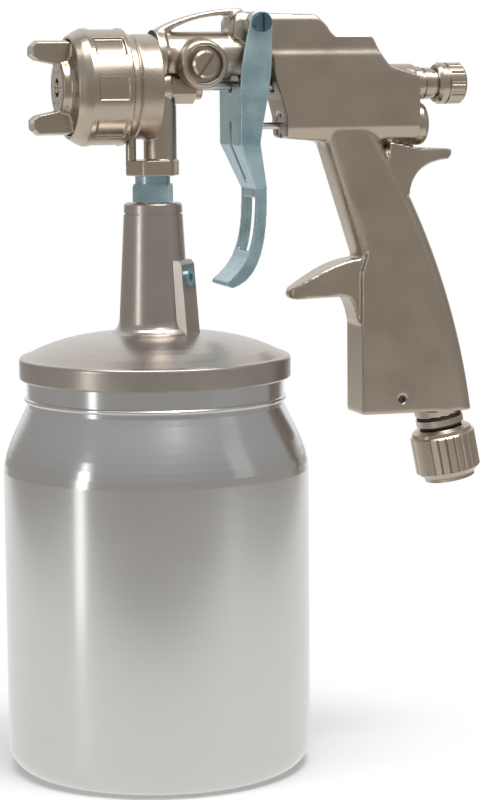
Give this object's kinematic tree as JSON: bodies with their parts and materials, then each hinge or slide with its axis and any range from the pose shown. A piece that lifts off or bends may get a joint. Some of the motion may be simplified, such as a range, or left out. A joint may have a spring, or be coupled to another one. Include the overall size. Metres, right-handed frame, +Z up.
{
  "type": "hvlp spray gun",
  "caption": "Cup-fed paint spray gun with a folded trigger, horned air cap, pistol grip and a screw-on round cup.",
  "frame": {"origin": "centre of the cup's flat bottom, on the surface that the cup stands on", "axes": "+Z up along the cup's and riser's axis; +X along the barrel towards the handle, with the muzzle towards -X; -Y is the gun's left side"},
  "size_m": [0.1734, 0.106, 0.2631],
  "materials": {
    "nickel_casting": "satin nickel plate on an aluminium casting",
    "nickel_turned": "bright nickel plate on turned brass",
    "zinc_sheet": "blue zinc plate on pressed steel",
    "zinc_nut": "blue zinc plate on a steel nut",
    "stainless": "turned stainless steel",
    "dark_steel": "dark oiled steel",
    "lid_plate": "satin nickel plate on pressed steel",
    "cup_aluminium": "spun satin aluminium",
    "seal_rubber": "black rubber",
    "seal_white": "white sealing plastic",
    "spring_wire": "bright spring wire",
    "ferrule_brass": "bare brass"
  },
  "bodies": {
    "gun": {"gun_body": "nickel_casting", "fluid_head": "nickel_casting", "head_gasket": "seal_rubber", "head_screws": "dark_steel", "fluid_nozzle": "stainless", "air_baffle": "nickel_turned", "packing_seal": "seal_white", "packing_nut": "nickel_turned", "needle_housing_bush": "nickel_turned", "pivot_screw": "dark_steel", "pivot_nut": "dark_steel", "valve_seat": "seal_white", "valve_gland": "nickel_turned", "valve_cap": "nickel_turned", "valve_cap_seal": "seal_rubber", "side_valve_bush": "nickel_turned", "side_valve_seal": "seal_rubber", "inlet_nipple": "nickel_turned", "inlet_seal_rings": "seal_rubber", "grip_plug": "dark_steel", "feed_tube": "nickel_turned", "needle_spring": "spring_wire", "valve_spring": "spring_wire"},
    "air_cap": {"air_cap": "nickel_turned"},
    "cap_ring": {"cap_ring": "nickel_turned"},
    "needle": {"fluid_needle": "stainless", "pull_collar": "nickel_turned", "needle_spring_seat": "stainless"},
    "fluid_knob": {"fluid_knob": "nickel_turned"},
    "trigger": {"trigger": "zinc_sheet"},
    "air_valve": {"valve_stem": "dark_steel", "valve_poppet": "ferrule_brass"},
    "side_knob": {"side_valve_knob": "nickel_turned"},
    "swivel": {"swivel_nut": "nickel_turned"},
    "coupling": {"coupling_nut": "zinc_nut"},
    "lid": {"cup_lid": "lid_plate", "pickup_tube": "stainless", "tube_ferrule": "ferrule_brass", "check_valve_plug": "zinc_nut", "check_valve_disc": "seal_rubber"},
    "seal": {"lid_gasket": "seal_rubber"},
    "cup": {"cup": "cup_aluminium"}
  },
  "joints": [
    {"name": "trigger_pull", "type": "hinge", "parent": "gun", "child": "trigger", "pos_m": [0.0356, 0, 0.258], "axis": [0, -1, 0], "range_deg": [0, 10], "stiffness_Nm_per_rad": 0.6, "springref_deg": -11.46},
    {"name": "needle_slide", "type": "slide", "parent": "gun", "child": "needle", "axis": [1, 0, 0], "range_m": [0, 0.0048], "deforming": ["needle_spring"]},
    {"name": "air_valve_slide", "type": "slide", "parent": "gun", "child": "air_valve", "axis": [1, 0, 0], "range_m": [0, 0.0065], "deforming": ["valve_spring"]},
    {"name": "air_cap_turn", "type": "hinge", "parent": "gun", "child": "air_cap", "pos_m": [-0.03, 0, 0.2365], "axis": [1, 0, 0], "continuous": true},
    {"name": "cap_ring_turn", "type": "hinge", "parent": "gun", "child": "cap_ring", "pos_m": [-0.02, 0, 0.2365], "axis": [1, 0, 0], "continuous": true},
    {"name": "fluid_knob_turn", "type": "hinge", "parent": "gun", "child": "fluid_knob", "pos_m": [0.107, 0, 0.2365], "axis": [1, 0, 0], "continuous": true},
    {"name": "side_valve_turn", "type": "hinge", "parent": "gun", "child": "side_knob", "pos_m": [0.0152, -0.013, 0.244], "axis": [0, -1, 0], "range_deg": [-180, 180]},
    {"name": "swivel_nut_turn", "type": "hinge", "parent": "gun", "child": "swivel", "pos_m": [0.10766, 0, 0.10578], "axis": [0.1908, 0, -0.9816], "continuous": true},
    {"name": "coupling_turn", "type": "hinge", "parent": "gun", "child": "coupling", "pos_m": [0, 0, 0.2062], "axis": [0, 0, 1], "continuous": true},
    {"name": "lid_swivel", "type": "hinge", "parent": "gun", "child": "lid", "pos_m": [0, 0, 0.1969], "axis": [0, 0, 1], "continuous": true},
    {"name": "cup_turn", "type": "hinge", "parent": "lid", "child": "seal", "pos_m": [0, 0, 0.141], "axis": [0, 0, 1], "continuous": true},
    {"name": "cup_drop", "type": "slide", "parent": "seal", "child": "cup", "axis": [0, 0, -1], "range_m": [0, 0.14]}
  ],
  "couplings": [
    {"joint": "needle_slide", "follows": "trigger_pull", "m_per_rad": 0.0265},
    {"joint": "air_valve_slide", "follows": "trigger_pull", "m_per_rad": 0.0367}
  ]
}
